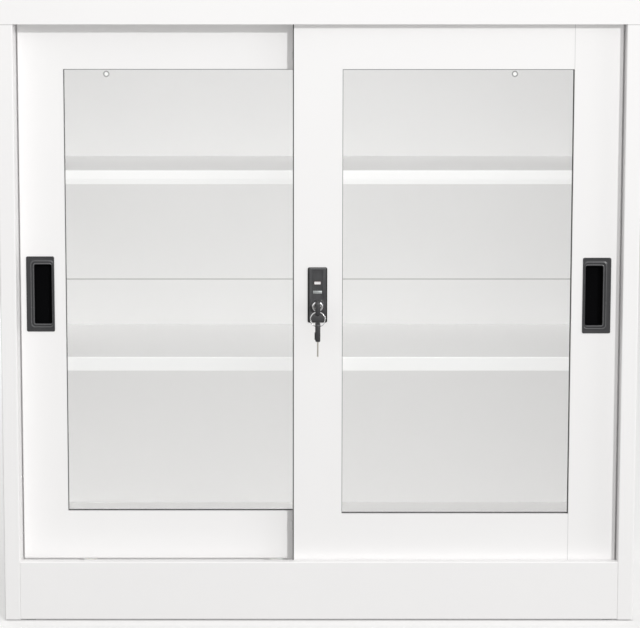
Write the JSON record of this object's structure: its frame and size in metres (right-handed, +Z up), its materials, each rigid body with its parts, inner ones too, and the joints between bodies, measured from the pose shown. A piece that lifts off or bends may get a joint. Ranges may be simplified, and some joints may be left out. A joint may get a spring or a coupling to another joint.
{
  "type": "sliding door cabinet",
  "caption": "Low steel cabinet with glazed sliding doors on tracks, inner shelves, black flush pulls and a keyed push lock.",
  "frame": {"origin": "under the middle of the whole part, from the hanging key to the back screws, on the floor", "axes": "+X to the right along the doors' travel, +Y to the back, +Z up"},
  "size_m": [0.9, 0.4288, 0.885],
  "materials": {
    "white_powder_coat": "satin white powder coat, fine texture",
    "clear_glass": "clear float glass",
    "grey_rubber": "matte grey glazing rubber",
    "black_plastic": "satin black moulded plastic",
    "white_nylon": "natural nylon",
    "white_rubber": "soft white buffer",
    "grey_plastic": "glide plastic",
    "zinc_steel": "bright zinc plate",
    "chrome": "polished chrome",
    "nickel_brass": "nickel-plated brass",
    "state_window": "plain red and white inlay"
  },
  "bodies": {
    "cabinet": {"top_panel": "white_powder_coat", "top_stiffener": "white_powder_coat", "upper_track": "white_powder_coat", "left_side_panel": "white_powder_coat", "right_side_panel": "white_powder_coat", "front_left_upright": "white_powder_coat", "rear_left_upright": "white_powder_coat", "front_right_upright": "white_powder_coat", "rear_right_upright": "white_powder_coat", "upper_back_panel": "white_powder_coat", "lower_back_panel": "white_powder_coat", "floor_panel": "white_powder_coat", "plinth": "white_powder_coat", "lower_track": "white_powder_coat", "rear_base_rail": "white_powder_coat", "levelling_glides": "grey_plastic", "levelling_bolts": "zinc_steel", "back_panel_screws": "zinc_steel", "upper_shelf": "white_powder_coat", "upper_shelf_stiffener": "white_powder_coat", "lower_shelf": "white_powder_coat", "lower_shelf_stiffener": "white_powder_coat", "shelf_clips": "zinc_steel"},
    "left_door": {"left_door_front_skin": "white_powder_coat", "left_door_end_stile": "white_powder_coat", "left_door_back_frame": "white_powder_coat", "left_door_glass": "clear_glass", "left_door_gasket": "grey_rubber", "left_door_handle": "black_plastic", "left_door_roller_housings": "white_nylon", "left_door_axles": "zinc_steel", "left_door_top_guides": "white_nylon", "left_door_buffers": "white_rubber", "strike_plate": "zinc_steel"},
    "right_door": {"right_door_front_skin": "white_powder_coat", "right_door_end_stile": "white_powder_coat", "right_door_back_frame": "white_powder_coat", "right_door_glass": "clear_glass", "right_door_gasket": "grey_rubber", "right_door_handle": "black_plastic", "right_door_roller_housings": "white_nylon", "right_door_axles": "zinc_steel", "right_door_top_guides": "white_nylon", "right_door_buffers": "white_rubber", "lock_housing": "black_plastic", "lock_state_window": "state_window", "lock_screws": "zinc_steel"},
    "left_door_left_roller": {"left_door_left_roller": "white_nylon"},
    "left_door_right_roller": {"left_door_right_roller": "white_nylon"},
    "right_door_left_roller": {"right_door_left_roller": "white_nylon"},
    "right_door_right_roller": {"right_door_right_roller": "white_nylon"},
    "lock_plunger": {"lock_barrel": "chrome", "lock_bolt": "zinc_steel"},
    "key": {"key_plug": "chrome", "key_blade": "nickel_brass", "key_head": "black_plastic"},
    "key_ring": {"key_ring": "chrome"},
    "spare_key": {"spare_key_head": "black_plastic", "spare_key_blade": "nickel_brass"}
  },
  "joints": [
    {"name": "left_door_slide", "type": "slide", "parent": "cabinet", "child": "left_door", "axis": [1, 0, 0], "range_m": [0, 0.391]},
    {"name": "right_door_slide", "type": "slide", "parent": "cabinet", "child": "right_door", "axis": [1, 0, 0], "range_m": [-0.387, 0]},
    {"name": "left_door_left_roller_spin", "type": "hinge", "parent": "left_door", "child": "left_door_left_roller", "pos_m": [-0.3305, -0.14535, 0.0845], "axis": [0, 1, 0], "continuous": true},
    {"name": "left_door_right_roller_spin", "type": "hinge", "parent": "left_door", "child": "left_door_right_roller", "pos_m": [-0.0615, -0.14535, 0.0845], "axis": [0, 1, 0], "continuous": true},
    {"name": "right_door_left_roller_spin", "type": "hinge", "parent": "right_door", "child": "right_door_left_roller", "pos_m": [0.0575, -0.16335, 0.0845], "axis": [0, 1, 0], "continuous": true},
    {"name": "right_door_right_roller_spin", "type": "hinge", "parent": "right_door", "child": "right_door_right_roller", "pos_m": [0.3305, -0.16335, 0.0845], "axis": [0, 1, 0], "continuous": true},
    {"name": "lock_push", "type": "slide", "parent": "right_door", "child": "lock_plunger", "axis": [0, 1, 0], "range_m": [0, 0.007], "stiffness_N_per_m": 300},
    {"name": "key_turn", "type": "hinge", "parent": "lock_plunger", "child": "key", "pos_m": [-0.0025, -0.18135, 0.4534], "axis": [0, 1, 0], "range_deg": [0, 60]},
    {"name": "key_ring_swing", "type": "hinge", "parent": "key", "child": "key_ring", "pos_m": [-0.0025, -0.20435, 0.4487], "axis": [0, 1, 0], "range_deg": [-25, 0]},
    {"name": "spare_key_swing", "type": "hinge", "parent": "key_ring", "child": "spare_key", "pos_m": [-0.0025, -0.20435, 0.4281], "axis": [1, 0, 0], "range_deg": [-20, 20]}
  ],
  "couplings": [
    {"joint": "left_door_left_roller_spin", "follows": "left_door_slide", "rad_per_m": 117.65},
    {"joint": "left_door_right_roller_spin", "follows": "left_door_slide", "rad_per_m": 117.65},
    {"joint": "right_door_left_roller_spin", "follows": "right_door_slide", "rad_per_m": 117.65},
    {"joint": "right_door_right_roller_spin", "follows": "right_door_slide", "rad_per_m": 117.65},
    {"joint": "key_turn", "follows": "key_ring_swing", "ratio": -2.4}
  ]
}
